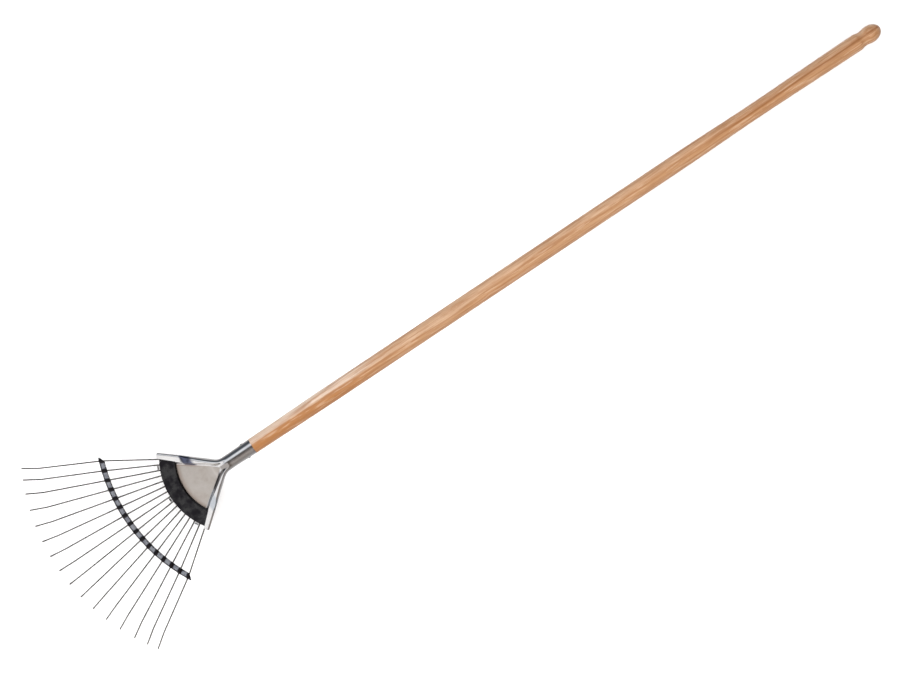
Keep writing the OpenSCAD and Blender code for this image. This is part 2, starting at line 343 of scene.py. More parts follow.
def ridge_places(at, outer, inner):
    """Half a row's outside as (y, height): round the side, over the ridge, down to the middle line."""
    front = smooth(SHELF_FROM, SHELF_TO, at)
    unit = across_share(at)
    tuck = mix(outer - SEAM_GAP, NECK_TUCK, smooth(OPEN_FROM, TUCK_TO, at))
    tuck = mix(tuck, FOLD_RADIUS * unit, smooth(ROLL_FROM, RIDGE_TO, at))
    crest_at = mix(CREST_SHARE * (outer - inner), FOLD_RADIUS * unit, front)
    crest = crest_height(at)
    foot = web_height(at)
    slope = outer - inner - crest_at
    shelf = (LIP_REAR_W * unit - crest_at) / slope
    split = mix(NECK_SPLIT, shelf, front)
    level_to = mix(NECK_LEVEL, shelf, front)
    places = fold_places(outer, tuck, crest_at, crest)
    for share in steps(0, split, CREST_STEPS)[1:] + steps(split, 1, FOOT_STEPS)[1:]:
        places.append((inner + slope * (1 - share), mix(crest, foot, smooth(level_to, 1, share))))
    return places + [(inner * share, foot) for share in steps(1, 0, WEB_STEPS)[1:]]


def head_row(at):
    """Half a row across the tube, the neck and the ridges, from its lower edge to the middle line."""
    radius = mix(MOUTH_R, THROAT_R, min(1, (FAN_AT + at) / SOCKET_LEN))
    outer = row_edge(at, radius, 0, SIDE_ANGLE)
    inner = row_edge(at, V_START * radius, V_POINT, V_ANGLE)
    places = ridge_places(at, outer, inner)
    opened = smooth(OPEN_FROM, OPEN_TO, at)
    row = []
    for (y, height), tube_height in zip(places, tube_heights(outer, radius, places)):
        point = on_handle(-FAN_AT - at, y, tube_height)
        row.append(point.lerp(on_fan(row_x(at, y), y, height), opened))
    return row


def mirrored(point):
    """The point across the middle plane of the handle."""
    return point - ACROSS * (2 * (point - MOUTH).dot(ACROSS))


def both_halves(row):
    """A whole row from its half, which ends on the middle line."""
    return [mirrored(p) for p in row] + row[-2::-1]


def lip_row(radius):
    """The folded side at a radius: from under the sheet, round the outside, to the lip's edge."""
    short = max(0, radius - (FOLD_TO - CORNER_R))
    cut = CORNER_R - sqrt(max(0, CORNER_R ** 2 - short ** 2))
    unit = across_share(radius)
    outer = row_edge(radius, THROAT_R, 0, SIDE_ANGLE) - CORNER_SIDE * cut * unit
    crest_at = (FOLD_RADIUS - CORNER_SIDE * cut) * unit
    width = mix(LIP_REAR_W, LIP_FRONT_W, (radius - RIDGE_TO) / (FOLD_TO - RIDGE_TO)) - CORNER_LIP * cut
    places = fold_places(outer, FOLD_RADIUS * unit, crest_at, LIP_TOP)
    places += [(outer - inside, LIP_TOP) for inside in steps(crest_at, width * unit, CREST_STEPS)[1:]]
    return [on_fan(row_x(radius, y), y, height) for y, height in places]


def web_rows():
    """The flat sheet under the clamp plate, whose first row ends the web between the ridges."""
    def half_width(radius):
        return row_edge(radius, THROAT_R, 0, SIDE_ANGLE) - FOLD_RADIUS * across_share(radius)

    inner = row_edge(RIDGE_TO, V_START * THROAT_R, V_POINT, V_ANGLE)
    half = steps(half_width(RIDGE_TO), inner, UNDER_RIDGE_STEPS)[:-1] + steps(inner, 0, WEB_STEPS)
    rows = []
    for radius in steps(RIDGE_TO, FRONT_R, SHEET_ROWS):
        scale = half_width(radius) / half_width(RIDGE_TO)
        rows.append(both_halves([on_fan(row_x(radius, y * scale), y * scale, WEB_TOP) for y in half]))
    return rows


def front_angle(angle):
    """Where a line of the turned fan crosses the head's front edge, as an angle at the fan's centre."""
    start = turned(0, 0)
    line = angle - FAN_TURN
    return line - asin((start[0] * sin(line) - start[1] * cos(line)) / FRONT_R)


def tab_outline():
    """Section of a front tab, as (distance out, height): the sheet turns up before the clamp plate."""
    root = FRONT_R - TAB_ROOT
    face = FRONT_R + TAB_LEN
    x, z = face - TAB_BEND, WEB_BOTTOM + TAB_BEND
    outline = [(root, WEB_BOTTOM)]
    outline += [(x + TAB_BEND * sin(a), z - TAB_BEND * cos(a)) for a in steps(0, pi / 2, 6)]
    outline.append((face, CLAMP_TOP))
    outline.append((face - TAB_CROWN_AT * SHEET, CLAMP_TOP + TAB_CROWN))
    outline.append((face - SHEET, CLAMP_TOP))
    x, z = face - SHEET - TAB_BEND_IN, WEB_TOP + TAB_BEND_IN
    outline += [(x + TAB_BEND_IN * cos(a), z - TAB_BEND_IN * sin(a)) for a in steps(0, pi / 2, 3)]
    return outline + [(root, WEB_TOP)]


def add_tab(bm, angle):
    """A tongue of the sheet that turns up between two tines."""
    middle_x = FRONT_R * cos(front_angle(angle))
    middle_y = FRONT_R * sin(front_angle(angle))
    line = angle - FAN_TURN
    rows = []
    for across in (-TAB_W / 2, TAB_W / 2):
        row = []
        for out, height in tab_outline():
            x = middle_x + (out - FRONT_R) * cos(line) - across * sin(line)
            y = middle_y + (out - FRONT_R) * sin(line) + across * cos(line)
            row.append(bm.verts.new(on_fan(x, y, height)))
        rows.append(row)
    bm.faces.new(rows[0])
    bm.faces.new(rows[1][::-1])
    for i in range(len(rows[0])):
        j = (i + 1) % len(rows[0])
        bm.faces.new([rows[0][j], rows[0][i], rows[1][i], rows[1][j]])


def add_sheet(bm):
    """The outer face of the whole pressing, without its tabs."""
    tube = steps(-FAN_AT, OPEN_FROM, TUBE_ROWS)
    neck = steps(OPEN_FROM, OPEN_TO, NECK_ROWS)[1:]
    ridges = steps(OPEN_TO, RIDGE_TO, RIDGE_ROWS)[1:]
    add_grid(bm, [both_halves(head_row(at)) for at in tube + neck + ridges])
    corner = FOLD_TO - CORNER_R
    radii = steps(RIDGE_TO, corner, LIP_ROWS) + steps(corner, FOLD_TO, CORNER_ROWS)[1:]
    lips = [lip_row(radius) for radius in radii]
    add_grid(bm, lips, flip=True)
    add_grid(bm, [[mirrored(p) for p in row] for row in lips])
    add_grid(bm, web_rows())
    bmesh.ops.remove_doubles(bm, verts=bm.verts, dist=SAME_PLACE)


def head_pressing(material):
    """Tube, neck, ridges, web, folded lips and front tabs, all of one sheet."""
    bm = bmesh.new()
    add_sheet(bm)
    piece = finished(bm, "head_pressing", material)
    thicken(piece, SHEET, HEAD_EASE)
    bm = bmesh.new()
    bm.from_mesh(piece.data)
    for gap in TAB_GAPS:
        add_tab(bm, gap * TINE_PITCH)
    bm.to_mesh(piece.data)
    bm.free()
    piece.data.set_sharp_from_angle(angle=CREASE)
    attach(piece, "root")
    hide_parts("head_shell")


# ------------------------ clamp plate
COVER_ROUND = 2.2 * MM
COVER_EASE = 0.25 * MM
COVER_REAR = radians(31)
COVER_GAP = 0.3 * MM
COVER_STEPS = 60
COVER_BEND_ROWS = 8
COVER_FLAT_ROWS = 12

# The plate is flat up to COVER_FLAT behind its front edge, which is eased by (distance behind, drop).
COVER_FLAT = 1 * MM
COVER_FRONT = ((0.3 * MM, 0.1 * MM), (0, 0.35 * MM))


def cover_section():
    """Section of the plate as (radius, height), from the web round its rear edge to its front edge."""
    round_to = CLAMP_R + COVER_ROUND
    section = [(CLAMP_R, WEB_TOP)]
    for a in steps(0, pi / 2, COVER_BEND_ROWS):
        height = CLAMP_TOP - COVER_ROUND + COVER_ROUND * sin(a)
        section.append((round_to - COVER_ROUND * cos(a), height))
    flat = steps(round_to, FRONT_R - COVER_FLAT, COVER_FLAT_ROWS)[1:]
    section += [(radius, CLAMP_TOP) for radius in flat]
    return section + [(FRONT_R - behind, CLAMP_TOP - drop) for behind, drop in COVER_FRONT]


def cover_row(radius, height):
    """An arc of the plate, which ends inside the folded sides and is narrower at its rear edge."""
    widest = SIDE_ANGLE - asin((FOLD_RADIUS + COVER_GAP) / radius)
    widest = mix(COVER_REAR, widest, smooth(CLAMP_R, CLAMP_R + COVER_ROUND, radius))
    angles = steps(-widest, widest, COVER_STEPS)
    return [on_fan(radius * cos(a), radius * sin(a), height) for a in angles]


def clamp_cover(material):
    """The curved plate over the tines' roots, with a rounded rear edge that turns down to the web."""
    bm = bmesh.new()
    add_grid(bm, [cover_row(radius, height) for radius, height in cover_section()])
    piece = finished(bm, "clamp_cover", material)
    thicken(piece, SHEET, COVER_EASE)
    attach(piece, "root")
    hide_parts("clamp_plate")


# ------------------------ spreader
PULL_POWER = 8
PINCH_W = 2.2 * MM
EDGE_DROP = 0.45
LEAF_SHARE = 0.9
STRIP_EASE = 0.12 * MM
STRIP_STEPS = 320
STRIP_ROWS = 10
CUT_FROM = -4 * MM
CUT_TO = 11 * MM
CUT_REAR = 0.9


def tine_angle(i):
    """Angle of tine i, from 1 at +Y, off the fan's middle line before the turn."""
    return ((TINES + 1) / 2 - i) * TINE_PITCH


def tine_pull(i):
    """How far tine i bends inward beyond the spreader, which only the outermost ones do."""
    side = (TINES + 1 - 2 * i) / (TINES - 1)
    pull = END_PULL * side ** PULL_POWER
    return 0 if pull < LEAST_PULL else pull * (1 if side > 0 else -1)


def reach(angle):
    """Distance from the fan's centre to the spreader along an angle."""
    return sqrt(SPREADER_R ** 2 - (SPREADER_BACK * sin(angle)) ** 2) - SPREADER_BACK * cos(angle)


def crossings():
    """Where the tines cross the spreader, before the turn, as (x, y, direction)."""
    found = []
    for i in range(1, TINES + 1):
        angle = tine_angle(i)
        found.append((reach(angle) * cos(angle), reach(angle) * sin(angle), angle - tine_pull(i) / 2))
    return found


def lift_over(x, y, wires):
    """Height of the pinched leaf above the tines' plane, from the nearest tine's distance."""
    off = min(abs((x - cx) * sin(a) - (y - cy) * cos(a)) for cx, cy, a in wires)
    return (WIRE_D / 2 + WIRE_GAP) * exp(-(off / PINCH_W) ** 2)


def strip_row(angle, end, side, wires):
    """A leaf's points across the strip, whose rear edge is cut slanting towards each end."""
    left = (end - abs(angle)) * SPREADER_R
    rear = mix(CUT_REAR, -1, smooth(CUT_FROM, CUT_TO, left))
    row = []
    for across in steps(rear, 1, STRIP_ROWS):
        radius = SPREADER_R + across * SPREADER_W / 2
        x = radius * cos(angle) - SPREADER_BACK
        y = radius * sin(angle)
        height = lift_over(x, y, wires) + LEAF
        edge = LEAF * EDGE_DROP * abs(across) ** 4
        row.append(on_fan(*turned(x, y), side * (height - edge)))
    return row


def spreader_strip(material):
    """Two leaves pinched together between the tines and swelling round each one."""
    wires = crossings()
    end = asin((wires[0][1] + SPREADER_PAST) / SPREADER_R)
    bm = bmesh.new()
    for side in (1, -1):
        rows = [strip_row(angle, end, side, wires) for angle in steps(-end, end, STRIP_STEPS)]
        add_grid(bm, rows, flip=side > 0)
    piece = finished(bm, "spreader_strip", material)
    thicken(piece, LEAF_SHARE * LEAF, STRIP_EASE)
    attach(piece, "root")
    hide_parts("spreader")


# ------------------------ node sums
class Sums:
    """Sums made of nodes on one node tree."""

    def __init__(self, tree):
        self.nodes = tree.nodes
        self.links = tree.links

    def feed(self, socket, value):
        """Links a socket to another one, or gives it a plain value."""
        if isinstance(value, bpy.types.NodeSocket):
            self.links.new(value, socket)
        else:
            socket.default_value = value

    def node(self, kind, **settings):
        """A new node, with its settings."""
        made = self.nodes.new(kind)
        for key, value in settings.items():
            setattr(made, key, value)
        return made

    def sum(self, operation, a, b=0.0, c=0.0):
        made = self.node("ShaderNodeMath", operation=operation)
        for socket, value in zip(made.inputs, (a, b, c)):
            self.feed(socket, value)
        return made.outputs[0]

    def times(self, first, *others):
        """The product of two values or more."""
        for other in others:
            first = self.sum("MULTIPLY", first, other)
        return first

    def length(self, a, b):
        """Length of a line that runs a one way and b across it."""
        return self.sum("SQRT", self.sum("ADD", self.times(a, a), self.times(b, b)))

    def vector(self, x, y, z):
        made = self.node("ShaderNodeCombineXYZ")
        for socket, value in zip(made.inputs, (x, y, z)):
            self.feed(socket, value)
        return made.outputs[0]

    def noise(self, where, scale=1.0, detail=4.0, roughness=0.55):
        made = self.node("ShaderNodeTexNoise")
        self.feed(made.inputs["Vector"], where)
        made.inputs["Scale"].default_value = scale
        made.inputs["Detail"].default_value = detail
        made.inputs["Roughness"].default_value = roughness
        return made.outputs["Fac"]

    def ramp(self, value, *stops):
        """A colour ramp: each stop is (place, colour)."""
        made = self.node("ShaderNodeValToRGB")
        elements = made.color_ramp.elements
        while len(elements) < len(stops):
            elements.new(0.5)
        for element, (place, colour) in zip(elements, stops):
            element.position = place
            element.color = (*colour, 1)
        self.feed(made.inputs["Fac"], value)
        return made.outputs["Color"]

    def blend(self, share, a, b):
        """Colour a where share is 0 and colour b where it is 1."""
        made = self.node("ShaderNodeMix", data_type="RGBA")
        self.feed(made.inputs[0], share)
        for socket, value in ((made.inputs[6], a), (made.inputs[7], b)):
            self.feed(socket, value if isinstance(value, bpy.types.NodeSocket) else (*value, 1))
        return made.outputs[2]

    def between(self, value, low, high, to_low=0.0, to_high=1.0):
        """to_low where value is below low, to_high above high, and a smooth change between."""
        made = self.node("ShaderNodeMapRange", interpolation_type="SMOOTHSTEP")
        for socket, number in zip(made.inputs, (value, low, high, to_low, to_high)):
            self.feed(socket, number)
        return made.outputs[0]

    def falls(self, value, low, high, full=1.0):
        """full where value is below low, and 0 above high."""
        return self.between(value, low, high, full, 0.0)

    def band(self, value, rise, fall):
        """1 between two edges, each of them given as (from, to)."""
        return self.times(self.between(value, *rise), self.falls(value, *fall))


class Shader(Sums):
    """A node material for one surface."""

    def __init__(self, name):
        self.material = bpy.data.materials.new(name)
        self.material.use_nodes = True
        super().__init__(self.material.node_tree)
        self.surface = self.nodes["Principled BSDF"]

    def dot(self, a, b):
        made = self.node("ShaderNodeVectorMath", operation="DOT_PRODUCT")
        self.feed(made.inputs[0], a)
        self.feed(made.inputs[1], b)
        return made.outputs["Value"]

    def place(self, origin, *axes):
        """Object coordinates from origin, measured along three axes, in metres."""
        here = self.node("ShaderNodeTexCoord").outputs["Object"]
        moved = self.node("ShaderNodeVectorMath", operation="SUBTRACT")
        self.feed(moved.inputs[0], here)
        moved.inputs[1].default_value = origin
        return [self.dot(moved.outputs[0], axis) for axis in axes]

    def bump(self, height, strength, distance):
        made = self.node("ShaderNodeBump")
        made.inputs["Strength"].default_value = strength
        made.inputs["Distance"].default_value = distance
        self.feed(made.inputs["Height"], height)
        self.links.new(made.outputs[0], self.surface.inputs["Normal"])

    def set(self, **values):
        """Sets inputs of the surface by name, with _ for each space."""
        for key, value in values.items():
            if isinstance(value, tuple):
                value = (*value, 1)
            self.feed(self.surface.inputs[key.replace("_", " ")], value)


# ------------------------ wood
HANDLE_AXES = (ALONG, ACROSS, UP)
ASH = (0.390, 0.226, 0.120)
# This pale colour and the redder one below are partly the ash's own tone, partly painted sheen and
# painted shade
ASH_PALE_AND_PAINTED_SHEEN = (0.575, 0.470, 0.385)
ASH_RUDDY_AND_PAINTED_SHADE = (0.315, 0.132, 0.040)
ASH_FAR = (0.330, 0.145, 0.050)
ASH_BROAD = (0.35, 0.170, 0.076)
ASH_RING = (0.26, 0.115, 0.044)
ASH_LINE = (0.26, 0.120, 0.046)
ASH_FLECK = (0.27, 0.125, 0.050)
ASH_GLINT = (0.56, 0.395, 0.265)
ASH_PORE = (0.13, 0.055, 0.022)
ASH_STREAK = (0.205, 0.075, 0.018)

# Stretches of the handle, in metres from the socket's mouth, over which a colour comes in or goes out
SIDES_OUT = (0.14, 0.32)
FAR_IN = (0.55, 0.95)
FAR_OUT = (1.06, 1.18)
STREAK_IN = (0.88, 1.02)
STREAK_TURN = (0.95, 1.20)
RINGS_PER_METRE = 230.0
PITH_BACK = 0.024
PITH_BELOW = 0.040
STREAK_WIDTH = 2.0 * MM
STREAK_SHIFT = 3.0 * MM
EULER = 2.718
GRAIN_DEPTH = 0.0002


def ash_sides(wood, x, y, slow):
    """Ground colour: pale on the +Y side and redder on the other, most of all near the socket.
    Both are partly the ash's own tone and partly painted light: a sheen on the +Y side, shade on the
    other.
    """
    near = wood.falls(x, *SIDES_OUT)
    side = wood.sum("ADD", y, wood.times(slow, wood.between(near, 0.0, 1.0, 0.034, 0.008)))
    # Painted sheen over the ash's own paler tone on the +Y side, then painted shade over its own redder
    # tone on the other
    pale = wood.times(wood.between(side, 1 * MM, 6 * MM), wood.between(near, 0.0, 1.0, 0.12, 1.0))
    ruddy_and_shade = wood.times(wood.falls(side, 0.0, 5 * MM), wood.between(near, 0.0, 1.0, 0.15, 1.0))
    colour = wood.blend(pale, ASH, ASH_PALE_AND_PAINTED_SHEEN)
    colour = wood.blend(ruddy_and_shade, colour, ASH_RUDDY_AND_PAINTED_SHADE)
    far = wood.times(wood.between(x, *FAR_IN, 0.0, 0.4), wood.between(x, *FAR_OUT, 1.0, 0.1))
    far = wood.times(far, wood.between(y, -7 * MM, -2 * MM), wood.between(y, 3 * MM, 7 * MM, 1.0, 0.3))
    return wood.blend(far, colour, ASH_FAR)


def growth_rings(wood, y, z, slow, broad):
    """Share of dark late wood in rings about a pith that lies outside the handle."""
    pith_y = wood.sum("ADD", wood.sum("ADD", y, PITH_BACK), wood.times(slow, 0.02))
    pith_z = wood.sum("ADD", z, PITH_BELOW)
    ring = wood.sum("FRACT", wood.times(wood.length(pith_y, pith_z), RINGS_PER_METRE))
    late = wood.band(ring, (0.45, 0.85), (0.88, 1.0))
    return wood.times(late, wood.between(broad, 0.3, 0.6, 0.25, 0.6))


def heart_streak(wood, x, y, z, slow):
    """Share of a dark streak on top of the grip's end, which wanders a little to one side."""
    heart = wood.between(x, *STREAK_TURN, 0.0, STREAK_SHIFT)
    off = wood.sum("ADD", wood.sum("SUBTRACT", y, heart), wood.times(slow, 0.003))
    off = wood.sum("DIVIDE", off, STREAK_WIDTH)
    streak = wood.sum("POWER", EULER, wood.times(wood.times(off, off), -1.0))
    streak = wood.times(streak, wood.between(x, *STREAK_IN, 0.0, 0.85))
    return wood.times(streak, wood.between(z, 0.0, 6 * MM))


def ash():
    """Lacquered ash, with growth rings, flecks and pores that run the length of the handle."""
    wood = Shader("ash")
    x, y, z = wood.place(MOUTH, *HANDLE_AXES)

    def grain(stretch, fineness, detail, roughness=0.55):
        """Noise drawn out along the handle."""
        where = [wood.times(x, stretch), wood.times(y, fineness), wood.times(z, fineness)]
        return wood.noise(wood.vector(*where), 1.0, detail, roughness)

    slow = wood.sum("SUBTRACT", grain(4.0, 12.0, 2.0), 0.5)
    broad = grain(3.5, 150.0, 3.0)
    fine = grain(11.0, 620.0, 5.0, 0.6)
    flecks = grain(20.0, 330.0, 3.0, 0.6)
    pores = wood.between(grain(170.0, 2600.0, 2.0), 0.60, 0.70)
    pores = wood.times(pores, wood.between(fine, 0.42, 0.6))
    colour = ash_sides(wood, x, y, slow)
    colour = wood.blend(wood.between(broad, 0.42, 0.64, 0.0, 0.5), colour, ASH_BROAD)
    colour = wood.blend(growth_rings(wood, y, z, slow, broad), colour, ASH_RING)
    colour = wood.blend(wood.between(fine, 0.50, 0.70, 0.0, 0.55), colour, ASH_LINE)
    colour = wood.blend(wood.between(flecks, 0.52, 0.64, 0.0, 0.5), colour, ASH_FLECK)
    colour = wood.blend(wood.falls(flecks, 0.38, 0.46, 0.35), colour, ASH_GLINT)
    colour = wood.blend(wood.times(pores, 0.5), colour, ASH_PORE)
    colour = wood.blend(heart_streak(wood, x, y, z, slow), colour, ASH_STREAK)
    roughness = wood.between(fine, 0.3, 0.7, 0.40, 0.52)
    wood.set(Base_Color=colour, Roughness=roughness, Coat_Weight=0.35, Coat_Roughness=0.16, IOR=1.4)
    wood.bump(wood.sum("ADD", fine, wood.times(pores, -1.5)), 0.25, GRAIN_DEPTH)
    return wood.material


# ------------------------ steel
FAN_AXES = (FAN_OUT, ACROSS, FAN_UP)
SCRATCH_DEPTH = 0.0003
SHINY = (0.80, 0.80, 0.80)
SHINY_CLOUD = (0.70, 0.70, 0.72)
# Painted dark bluish reflection on the +Y ridge
RIDGE_PAINTED_DARK_REFLECTION = (0.12, 0.13, 0.19)
RIDGE_SHADE = (0.05, 0.05, 0.06)
# Painted bluish reflection on the -Y ridge
RIDGE_PAINTED_BLUISH_REFLECTION = (0.46, 0.51, 0.57)
NECK_SHADE = (0.19, 0.160, 0.142)
WEB_DARK = (0.50, 0.45, 0.41)
WEB_STEEL = (0.59, 0.55, 0.51)
WEB_LIGHT = (0.65, 0.61, 0.575)
# Painted brown shade on the web beside the clamp plate
WEB_REAR_PAINTED_SHADE = (0.36, 0.27, 0.215)
# Painted brown reflection at the foot of the +Y ridge
WEB_FOOT_PAINTED_REFLECTION = (0.30, 0.21, 0.165)
WEB_GLOSS = 0.26
LEAF_DARK = (0.20, 0.21, 0.245)
LEAF_LIGHT = (0.33, 0.345, 0.385)
# Painted dark reflection where the spreader is pinched round each tine and along its front edge
LEAF_PAINTED_DARK_REFLECTION = (0.022, 0.020, 0.022)

# Stretches of the head along the fan's middle line: where each painted shade and painted reflection
# comes in, and where it goes out
NECK_AT = ((-6 * MM, 0.0), (15 * MM, 22 * MM))
SHADE_AT = ((20 * MM, 30 * MM), (46 * MM, 56 * MM))
DARK_REFLECTION_AT = ((50 * MM, 57 * MM), (68 * MM, 72 * MM))
BLUISH_REFLECTION_AT = ((50 * MM, 58 * MM), (70 * MM, 76 * MM))


def steel(name, colour, tint, roughness, spread, origin, axes, blotch):
    """Polished steel: cloudy tint, uneven gloss and fine scratches along its first axis."""
    metal = Shader(name)
    x, y, z = metal.place(origin, *axes)
    cloud = metal.noise(metal.vector(x, y, z), blotch, 5.0, 0.6)
    lines = metal.noise(metal.vector(metal.times(x, 0.06), y, z), 900.0, 3.0)
    body = metal.blend(metal.between(cloud, 0.38, 0.66), colour, tint)
    gloss = metal.between(cloud, 0.3, 0.7, roughness - spread, roughness + spread)
    gloss = metal.sum("ADD", gloss, metal.between(lines, 0.5, 0.8, 0.0, 0.08))
    metal.set(Base_Color=body, Metallic=1.0, Roughness=gloss)
    metal.bump(metal.sum("ADD", lines, metal.times(cloud, 2.0)), 0.08, SCRATCH_DEPTH)
    return metal.material


def web_colour(metal, cloud, x, y, rise, radius):
    """Dull, warm sheet, with a browner painted shade beside the clamp plate and a browner painted
    reflection at the foot of the +Y ridge.
    """
    colour = metal.ramp(cloud, (0.32, WEB_DARK), (0.5, WEB_STEEL), (0.68, WEB_LIGHT))
    # Painted shade on the web beside the clamp plate
    rear = metal.between(radius, 84 * MM, 92 * MM)
    colour = metal.blend(metal.times(rear, 0.55), colour, WEB_REAR_PAINTED_SHADE)
    # Painted brown reflection at the foot of the +Y ridge
    foot = metal.times(metal.between(rise, -4 * MM, -1 * MM), metal.between(y, 0.0, 4 * MM))
    foot = metal.times(foot, metal.between(x, 42 * MM, 60 * MM, 0.0, 0.6))
    return metal.blend(foot, colour, WEB_FOOT_PAINTED_REFLECTION)


def ridge_colour(metal, cloud, x, y, rise):
    """Bright steel with a painted dark bluish reflection on the +Y ridge, and painted shade and a
    painted bluish reflection on the other.
    """
    below = metal.falls(y, -4 * MM, 0.0)
    colour = metal.blend(metal.between(cloud, 0.35, 0.7), SHINY, SHINY_CLOUD)
    # Painted dark bluish reflection on the +Y ridge
    dark_reflection = metal.band(x, *DARK_REFLECTION_AT)
    colour = metal.blend(metal.times(dark_reflection, metal.between(y, 0.0, 4 * MM)), colour, RIDGE_PAINTED_DARK_REFLECTION)
    neck = metal.band(x, *NECK_AT)
    neck = metal.times(neck, metal.between(y, -9 * MM, -6 * MM), metal.falls(y, 1 * MM, 3 * MM, 0.7))
    colour = metal.blend(neck, colour, NECK_SHADE)
    shade = metal.band(x, *SHADE_AT)
    shade = metal.times(shade, metal.falls(rise, 4.5 * MM, 6.5 * MM))
    colour = metal.blend(metal.times(shade, below), colour, RIDGE_SHADE)
    # Painted bluish reflection on the -Y ridge
    bluish_reflection = metal.band(x, *BLUISH_REFLECTION_AT)
    return metal.blend(metal.times(bluish_reflection, below, 0.7), colour, RIDGE_PAINTED_BLUISH_REFLECTION)


def head_steel():
    """Polished ridges and socket, with a duller, warmer web between the ridges."""
    metal = Shader("polished_steel")
    x, y, z = metal.place(FAN_CENTRE, *FAN_AXES)
    cloud = metal.noise(metal.vector(x, y, z), 45.0, 5.0, 0.6)
    scratches = metal.noise(metal.vector(metal.times(x, 0.08), y, z), 1100.0, 3.0)
    radius = metal.length(x, y)
    width = metal.times(metal.sum("SUBTRACT", x, V_POINT), tan(V_ANGLE))
    aside = metal.sum("ABSOLUTE", y)
    rise = metal.times(metal.sum("SUBTRACT", aside, width), cos(V_ANGLE))
    web = metal.between(metal.sum("SUBTRACT", width, aside), -1 * MM, 2 * MM)
    web = metal.times(web, metal.falls(radius, FRONT_R - 2 * MM, FRONT_R))
    shiny = ridge_colour(metal, cloud, x, y, rise)
    dull = web_colour(metal, cloud, x, y, rise, radius)
    gloss = metal.between(cloud, 0.3, 0.7, 0.10, 0.18)
    gloss = metal.sum("ADD", gloss, metal.between(scratches, 0.5, 0.8, 0.0, 0.05))
    gloss = metal.sum("ADD", gloss, metal.times(web, WEB_GLOSS))
    metal.set(Base_Color=metal.blend(web, shiny, dull), Metallic=1.0, Roughness=gloss)
    metal.bump(metal.sum("ADD", scratches, metal.times(cloud, 3.0)), 0.06, SCRATCH_DEPTH)
    return metal.material


def spreader_steel():
    """Blue-grey steel, with a nearly black painted reflection where it is pinched round a tine and
    along its front edge.
    """
    metal = Shader("spreader_steel")
    root = on_fan(*turned(0, 0), 0)
    out = FAN_OUT * cos(FAN_TURN) - ACROSS * sin(FAN_TURN)
    side = FAN_OUT * sin(FAN_TURN) + ACROSS * cos(FAN_TURN)
    x, y, z = metal.place(root, out, side, FAN_UP)
    cloud = metal.noise(metal.vector(x, y, z), 90.0, 4.0, 0.6)
    tines = metal.sum("DIVIDE", metal.sum("ARCTAN2", y, x), TINE_PITCH)
    tines = metal.sum("FRACT", metal.sum("ADD", tines, TINES / 2))
    off = metal.sum("ABSOLUTE", metal.sum("SUBTRACT", tines, 0.5))
    off = metal.sum("ADD", off, metal.times(metal.sum("SUBTRACT", cloud, 0.5), 0.16))
    radius = metal.length(metal.sum("ADD", x, SPREADER_BACK), y)
    edge = metal.between(radius, SPREADER_R + 1.8 * MM, SPREADER_R + 3.6 * MM)
    # Mask of the painted dark reflection at each tine and along the front edge
    dark = metal.sum("MAXIMUM", metal.falls(off, 0.16, 0.27), metal.times(edge, 0.85))
    body = metal.ramp(cloud, (0.35, LEAF_DARK), (0.6, LEAF_LIGHT))
    gloss = metal.between(cloud, 0.3, 0.7, 0.2, 0.36)
    metal.set(Base_Color=metal.blend(dark, body, LEAF_PAINTED_DARK_REFLECTION), Metallic=1.0, Roughness=gloss)
    metal.bump(cloud, 0.1, SCRATCH_DEPTH)
    return metal.material


def clamp_steel():
    dark = (0.016, 0.015, 0.018)
    light = (0.058, 0.058, 0.060)
    return steel("dark_steel", dark, light, 0.24, 0.08, FAN_CENTRE, FAN_AXES, 62.0)


def wire_steel():
    light = (0.17, 0.16, 0.15)
    dark = (0.095, 0.088, 0.082)
    return steel("spring_wire", light, dark, 0.30, 0.06, FAN_CENTRE, FAN_AXES, 120.0)


def rivet_steel():
    light = (0.20, 0.20, 0.21)
    dark = (0.12, 0.12, 0.13)
    return steel("rivet_steel", light, dark, 0.32, 0.06, MOUTH, HANDLE_AXES, 400.0)


def repaint(node, material):
    """Gives all of a CAD node's faces one material."""
    piece = frame["nodes"][node]
    piece.data.materials.clear()
    piece.data.materials.append(material)


# ------------------------ studio
# Colours of the surroundings round the X axis, by degrees from straight up towards +Y
SKY_BANDS = (
    (-180, (0.55, 0.55, 0.55)),
    (-125, (0.50, 0.49, 0.48)),
    (-100, (0.27, 0.25, 0.24)),
    (-72, (0.23, 0.20, 0.18)),
    (-34, (0.36, 0.31, 0.28)),
    (-8, (0.105, 0.085, 0.075)),
    (14, (0.075, 0.066, 0.064)),
    (30, (0.90, 0.92, 0.96)),
    (48, (0.90, 0.92, 0.96)),
    (64, (0.10, 0.11, 0.13)),
    (104, (0.07, 0.075, 0.085)),
    (130, (0.50, 0.49, 0.48)),
    (180, (0.55, 0.55, 0.55)),
)
SOFT_BOX = (1.08, 1.06, 1.05)
BACKDROP = (0.93, 0.93, 0.93, 1)
FLOOR_SIZE = 30
FLOOR_GAP = 0.0005
PAPER = (0.97, 0.97, 0.97)
PAPER_LIGHT = (0.98, 0.98, 0.98)
CAMERA_DISTANCE = 4.5
CAMERA_AIM = Vector((0, 0, 0.05))
CAMERA_RIGHT = -0.0348
CAMERA_UP = -0.0509


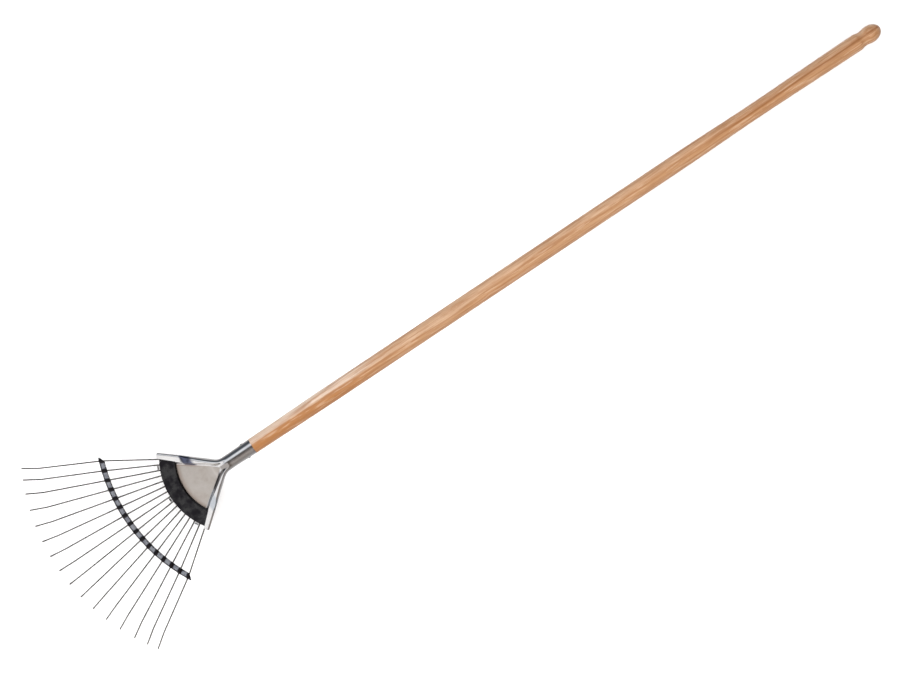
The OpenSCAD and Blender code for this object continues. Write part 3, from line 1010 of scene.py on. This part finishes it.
def sky_colour(sky):
    """A dark ceiling, a strip light to the +Y side, a grey wall opposite, a soft box past the tines."""
    split = sky.node("ShaderNodeSeparateXYZ")
    sky.feed(split.inputs[0], sky.node("ShaderNodeTexCoord").outputs["Generated"])
    x, y, z = split.outputs
    share = sky.sum("MULTIPLY_ADD", sky.sum("ARCTAN2", y, z), 1 / (2 * pi), 0.5)
    bands = sky.ramp(share, *((degrees / 360 + 0.5, colour) for degrees, colour in SKY_BANDS))
    box = sky.times(sky.falls(x, -0.22, -0.10), sky.falls(y, 0.05, 0.24))
    return sky.blend(box, bands, SOFT_BOX)


def world():
    """Studio surroundings for reflections, which the camera itself sees as a plain pale backdrop."""
    made = bpy.data.worlds.new("studio")
    bpy.context.scene.world = made
    made.use_nodes = True
    sky = Sums(made.node_tree)
    shown = sky.node("ShaderNodeBackground")
    shown.inputs["Color"].default_value = BACKDROP
    lit = sky.node("ShaderNodeBackground")
    sky.feed(lit.inputs["Color"], sky_colour(sky))
    chosen = sky.node("ShaderNodeMixShader")
    seen = sky.node("ShaderNodeLightPath").outputs["Is Camera Ray"]
    for socket, source in zip(chosen.inputs, (seen, lit.outputs[0], shown.outputs[0])):
        sky.links.new(source, socket)
    sky.links.new(chosen.outputs[0], sky.nodes["World Output"].inputs["Surface"])


def area_light(name, place, target, size, power, colour=(1, 1, 1)):
    data = bpy.data.lights.new(name, "AREA")
    data.shape = "RECTANGLE"
    data.size, data.size_y = size
    data.energy = power
    data.color = colour
    light = bpy.data.objects.new(name, data)
    bpy.context.scene.collection.objects.link(light)
    light.location = place
    light.rotation_euler = (Vector(target) - Vector(place)).to_track_quat("-Z", "Y").to_euler()
    light.visible_glossy = False


def lights():
    area_light("key", (-0.3, 1.9, 2.6), (0.1, 0, 0), (2.6, 1.4), 62, (1, 0.985, 0.97))
    area_light("fill", (0.4, -2.2, 2.4), (0, 0, 0), (3.0, 1.6), 56)
    area_light("top", (0, 0, 3.6), (0, 0, 0), (3.0, 3.0), 78)


def floor():
    """A wide sheet of pale paper just below the rake."""
    bpy.ops.mesh.primitive_plane_add(size=FLOOR_SIZE, location=(0, 0, CAD_BOX[0].z - FLOOR_GAP))
    piece = bpy.context.object
    piece.name = "floor"
    paper = Shader("paper")
    grain = paper.noise(paper.node("ShaderNodeTexCoord").outputs["Object"], 60.0)
    colour = paper.blend(grain, PAPER, PAPER_LIGHT)
    paper.set(Base_Color=colour, Roughness=0.9, Specular_IOR_Level=0.1)
    piece.data.materials.append(paper.material)
    piece.visible_glossy = False


def camera():
    """Almost straight down on the rake, which runs up to the right across the picture."""
    azimuth = radians(28.15)
    elevation = radians(93.57)
    roll = radians(-5.48)
    view = Vector((sin(azimuth) * cos(elevation), cos(azimuth) * cos(elevation), -sin(elevation)))
    level = Vector((cos(azimuth), -sin(azimuth), 0))
    above = level.cross(view)
    right = level * cos(roll) + above * sin(roll)
    up = above * cos(roll) - level * sin(roll)
    data = bpy.data.cameras.new("camera")
    data.sensor_width = 36
    data.lens = 105.89
    data.clip_end = 50
    lens = bpy.data.objects.new("camera", data)
    bpy.context.scene.collection.objects.link(lens)
    lens.rotation_euler = Matrix((right, up, -view)).transposed().to_euler()
    lens.location = CAMERA_AIM - view * CAMERA_DISTANCE + right * CAMERA_RIGHT + up * CAMERA_UP
    bpy.context.scene.camera = lens


# ------------------------ the scene
camera()
world()
floor()
lights()

head_pressing(head_steel())
clamp_cover(clamp_steel())
spreader_strip(spreader_steel())
wire = wire_steel()
for number in range(1, TINES + 1):
    repaint(f"tine_{number:02d}", wire)
repaint("socket_rivet", rivet_steel())
repaint("handle", ash())
bpy.context.scene.view_settings.view_transform = "Standard"
